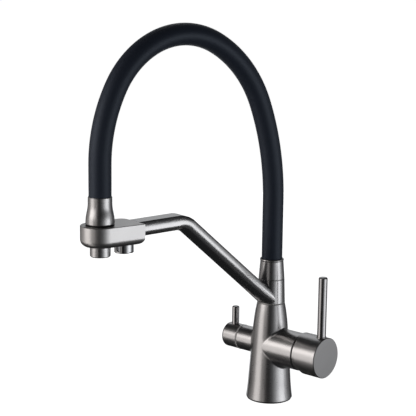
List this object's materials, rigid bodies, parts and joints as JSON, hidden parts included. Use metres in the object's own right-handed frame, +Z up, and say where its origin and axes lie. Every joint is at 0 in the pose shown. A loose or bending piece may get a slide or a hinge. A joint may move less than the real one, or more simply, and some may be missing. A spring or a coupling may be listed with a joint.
{
  "type": "kitchen mixer tap",
  "caption": "Kitchen mixer with a conical column, a flexible hose arching to a nozzle docked in the arm's head, an outlet for filtered water, a side mixing lever and a filter handle.",
  "frame": {"origin": "centre of the column on the worktop, at the underside of the base gasket", "axes": "+Z up along the column; +X along the mixing valve, to the user's right; -Y towards the user. At rest the arm is turned 11 degrees from -Y towards -X, as pictured"},
  "size_m": [0.1363, 0.2572, 0.4773],
  "materials": {
    "coated_brass": "satin gunmetal coating",
    "raw_brass": "turned, uncoated",
    "stainless": "plain",
    "chrome": "polished",
    "seal_rubber": "matte",
    "silicone": "matte silicone",
    "hose_liner": "smooth",
    "white_plastic": "moulded",
    "black_plastic": "moulded",
    "ceramic": "ground and lapped"
  },
  "bodies": {
    "base": {"base_gasket": "seal_rubber", "body": "coated_brass", "swivel_stem": "raw_brass", "swivel_o_rings": "seal_rubber", "lower_slide_ring": "white_plastic", "upper_slide_ring": "white_plastic", "swivel_nut": "raw_brass", "cartridge_body": "white_plastic", "cartridge_seals": "seal_rubber", "fixed_disc": "ceramic", "cartridge_nut": "raw_brass", "trim_ring": "coated_brass", "filter_headwork": "raw_brass", "filter_seal": "seal_rubber", "filter_fixed_disc": "ceramic", "filter_trim_ring": "white_plastic", "fixing_stud": "stainless", "rubber_clamp_washer": "seal_rubber", "steel_clamp_washer": "stainless", "clamp_nut": "raw_brass"},
    "arm": {"spout_arm": "coated_brass", "filtered_water_tube": "stainless", "outlet_head": "coated_brass", "dock_bush": "black_plastic", "aerator_housing": "chrome", "aerator_insert": "white_plastic", "aerator_gasket": "seal_rubber", "hose_collar": "coated_brass", "hose_tail": "raw_brass", "hose_tail_o_ring": "seal_rubber", "hose_jacket": "silicone", "inner_hose": "hose_liner"},
    "spray": {"ferrule": "coated_brass", "hose_end_fitting": "raw_brass", "spray_body": "coated_brass", "spray_insert": "black_plastic"},
    "mixer_carrier": {"cartridge_driver": "white_plastic", "pivot_pin": "stainless"},
    "disc_pair": {"moving_disc": "ceramic", "disc_slider": "white_plastic"},
    "mixer_handle": {"cartridge_spindle": "stainless", "mixer_cap": "coated_brass", "mixer_lever": "coated_brass", "lever_set_screw": "stainless"},
    "filter_handle": {"filter_moving_disc": "ceramic", "filter_spindle": "raw_brass", "filter_cap": "coated_brass", "filter_pin": "coated_brass"}
  },
  "joints": [
    {"name": "arm_swivel", "type": "hinge", "parent": "base", "child": "arm", "pos_m": [0, 0, 0.12], "axis": [0, 0, 1], "continuous": true},
    {"name": "spray_pull", "type": "slide", "parent": "arm", "child": "spray", "axis": [0, 0, 1], "range_m": [0, 0.045], "deforming": ["hose_jacket", "inner_hose"]},
    {"name": "temperature", "type": "hinge", "parent": "base", "child": "mixer_carrier", "pos_m": [0.046, 0, 0.06], "axis": [1, 0, 0], "range_deg": [-45, 45]},
    {"name": "flow", "type": "hinge", "parent": "mixer_carrier", "child": "mixer_handle", "pos_m": [0.046, 0, 0.06], "axis": [0, 1, 0], "range_deg": [0, 25]},
    {"name": "disc_slide", "type": "slide", "parent": "mixer_carrier", "child": "disc_pair", "axis": [0, 0, 1], "range_m": [0, 0.0035]},
    {"name": "filter_turn", "type": "hinge", "parent": "base", "child": "filter_handle", "pos_m": [-0.045, 0, 0.06], "axis": [1, 0, 0], "range_deg": [0, 90]}
  ],
  "couplings": [
    {"joint": "disc_slide", "follows": "flow", "m_per_rad": 0.0078}
  ]
}
